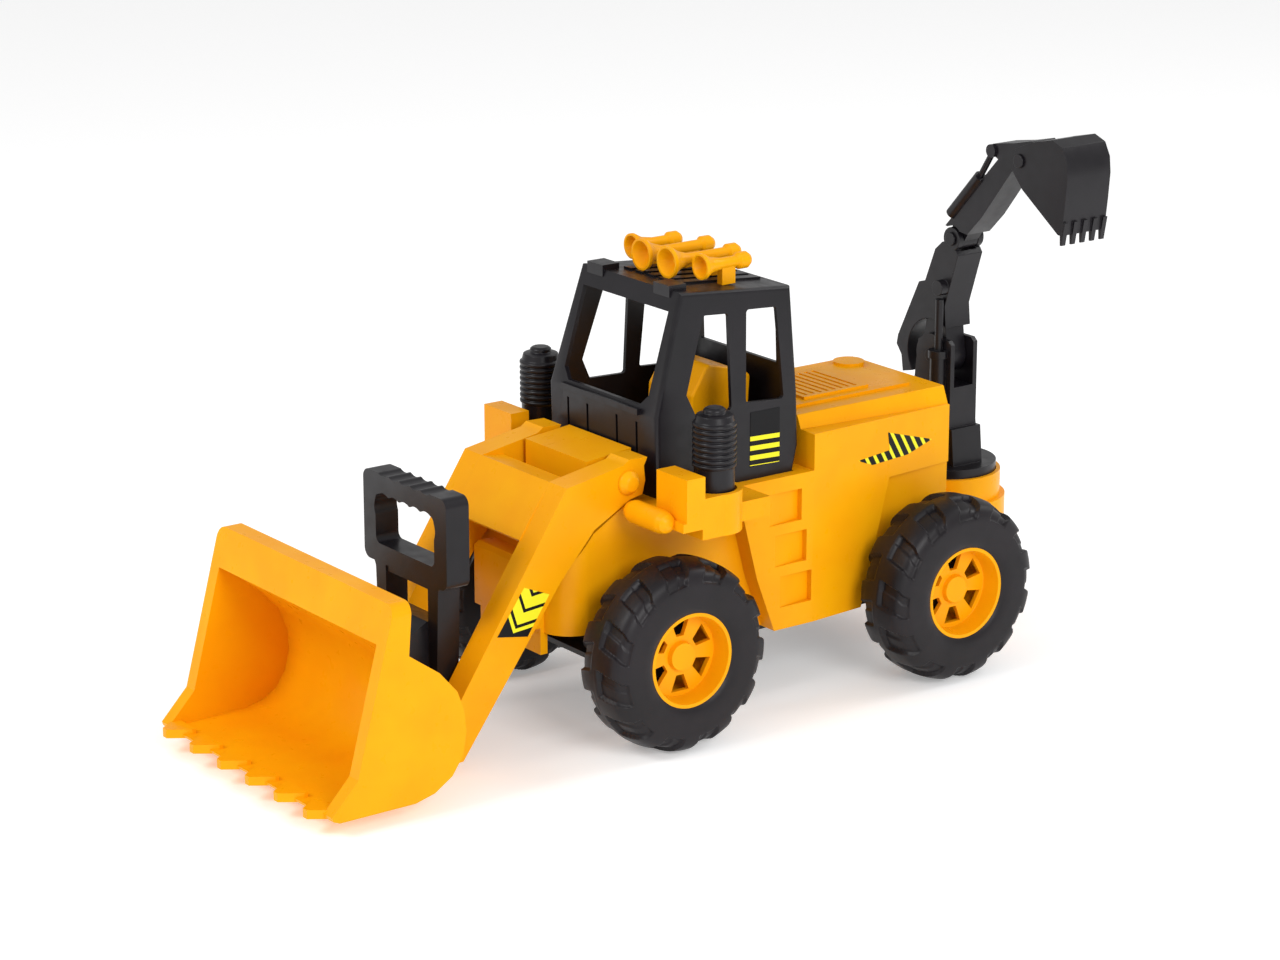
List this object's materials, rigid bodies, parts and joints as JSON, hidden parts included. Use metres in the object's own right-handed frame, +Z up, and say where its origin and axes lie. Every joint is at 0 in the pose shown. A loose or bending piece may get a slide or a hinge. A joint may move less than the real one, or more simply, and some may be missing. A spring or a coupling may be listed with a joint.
{
  "type": "toy backhoe loader",
  "caption": "Large moulded-plastic toy backhoe loader: front loader bucket on lifting arms with a carry handle, open cab with roof horns, ribbed air cleaners and a swinging, folding backhoe.",
  "frame": {"origin": "on the ground under the centre of the whole toy's box, with the backhoe swung to its left", "axes": "+X to the driver's left, +Y to the rear (the backhoe end), +Z up"},
  "size_m": [0.2772, 0.691, 0.405],
  "materials": {
    "yellow_plastic": "satin moulded yellow-orange plastic",
    "black_plastic": "satin moulded black plastic",
    "tyre_plastic": "satin black moulded tyre",
    "steel": "plain steel",
    "sticker": "yellow and black hazard stripes on vinyl"
  },
  "bodies": {
    "chassis": {"body_shell": "yellow_plastic", "chassis_tray": "black_plastic", "chassis_screws": "steel", "front_axle": "steel", "rear_axle": "steel", "cab": "black_plastic", "driver_seat": "yellow_plastic", "horn_inner_left": "yellow_plastic", "horn_inner_right": "yellow_plastic", "horn_outer_left": "yellow_plastic", "horn_outer_right": "yellow_plastic", "air_cleaner_left": "black_plastic", "air_cleaner_right": "black_plastic", "swing_pin": "steel", "cab_sticker_left": "sticker", "cab_sticker_right": "sticker", "hood_sticker_left": "sticker", "hood_sticker_right": "sticker"},
    "wheel_front_left": {"tyre_front_left": "tyre_plastic", "rim_front_left": "yellow_plastic"},
    "wheel_front_right": {"tyre_front_right": "tyre_plastic", "rim_front_right": "yellow_plastic"},
    "wheel_rear_left": {"tyre_rear_left": "tyre_plastic", "rim_rear_left": "yellow_plastic"},
    "wheel_rear_right": {"tyre_rear_right": "tyre_plastic", "rim_rear_right": "yellow_plastic"},
    "arms": {"loader_arms": "yellow_plastic", "arm_pin_left": "yellow_plastic", "arm_pin_right": "yellow_plastic", "arm_sticker_left": "sticker", "arm_sticker_right": "sticker"},
    "bucket": {"loader_bucket": "yellow_plastic", "bucket_pin_left": "steel", "bucket_pin_right": "steel", "bucket_handle": "black_plastic", "handle_bolts": "steel"},
    "swing_post": {"backhoe_post": "black_plastic", "boom_pin": "black_plastic"},
    "boom_arm": {"boom": "black_plastic", "elbow_pin": "black_plastic"},
    "dipper_arm": {"dipper": "black_plastic"},
    "scoop": {"backhoe_bucket": "black_plastic", "scoop_pin": "black_plastic"}
  },
  "joints": [
    {"name": "wheel_front_left_spin", "type": "hinge", "parent": "chassis", "child": "wheel_front_left", "pos_m": [0.0932, -0.0445, 0.07], "axis": [1, 0, 0], "continuous": true},
    {"name": "wheel_front_right_spin", "type": "hinge", "parent": "chassis", "child": "wheel_front_right", "pos_m": [-0.1136, -0.0445, 0.07], "axis": [1, 0, 0], "continuous": true},
    {"name": "wheel_rear_left_spin", "type": "hinge", "parent": "chassis", "child": "wheel_rear_left", "pos_m": [0.0932, 0.211, 0.07], "axis": [1, 0, 0], "continuous": true},
    {"name": "wheel_rear_right_spin", "type": "hinge", "parent": "chassis", "child": "wheel_rear_right", "pos_m": [-0.1136, 0.211, 0.07], "axis": [1, 0, 0], "continuous": true},
    {"name": "loader_lift", "type": "hinge", "parent": "chassis", "child": "arms", "pos_m": [-0.0102, -0.0551, 0.188], "axis": [-1, 0, 0], "range_deg": [0, 55]},
    {"name": "bucket_tilt", "type": "hinge", "parent": "arms", "child": "bucket", "pos_m": [-0.0102, -0.2045, 0.024], "axis": [1, 0, 0], "range_deg": [-12, 55]},
    {"name": "backhoe_swing", "type": "hinge", "parent": "chassis", "child": "swing_post", "pos_m": [-0.0102, 0.2995, 0.12], "axis": [0, 0, 1], "range_deg": [0, 180]},
    {"name": "boom_hinge", "type": "hinge", "parent": "swing_post", "child": "boom_arm", "pos_m": [-0.0162, 0.2995, 0.214], "axis": [0, 1, 0], "range_deg": [-5, 55]},
    {"name": "dipper_hinge", "type": "hinge", "parent": "boom_arm", "child": "dipper_arm", "pos_m": [0.0033, 0.2995, 0.309], "axis": [0, 1, 0], "range_deg": [-25, 60]},
    {"name": "scoop_hinge", "type": "hinge", "parent": "dipper_arm", "child": "scoop", "pos_m": [0.0868, 0.2995, 0.384], "axis": [0, 1, 0], "range_deg": [-30, 60]}
  ]
}
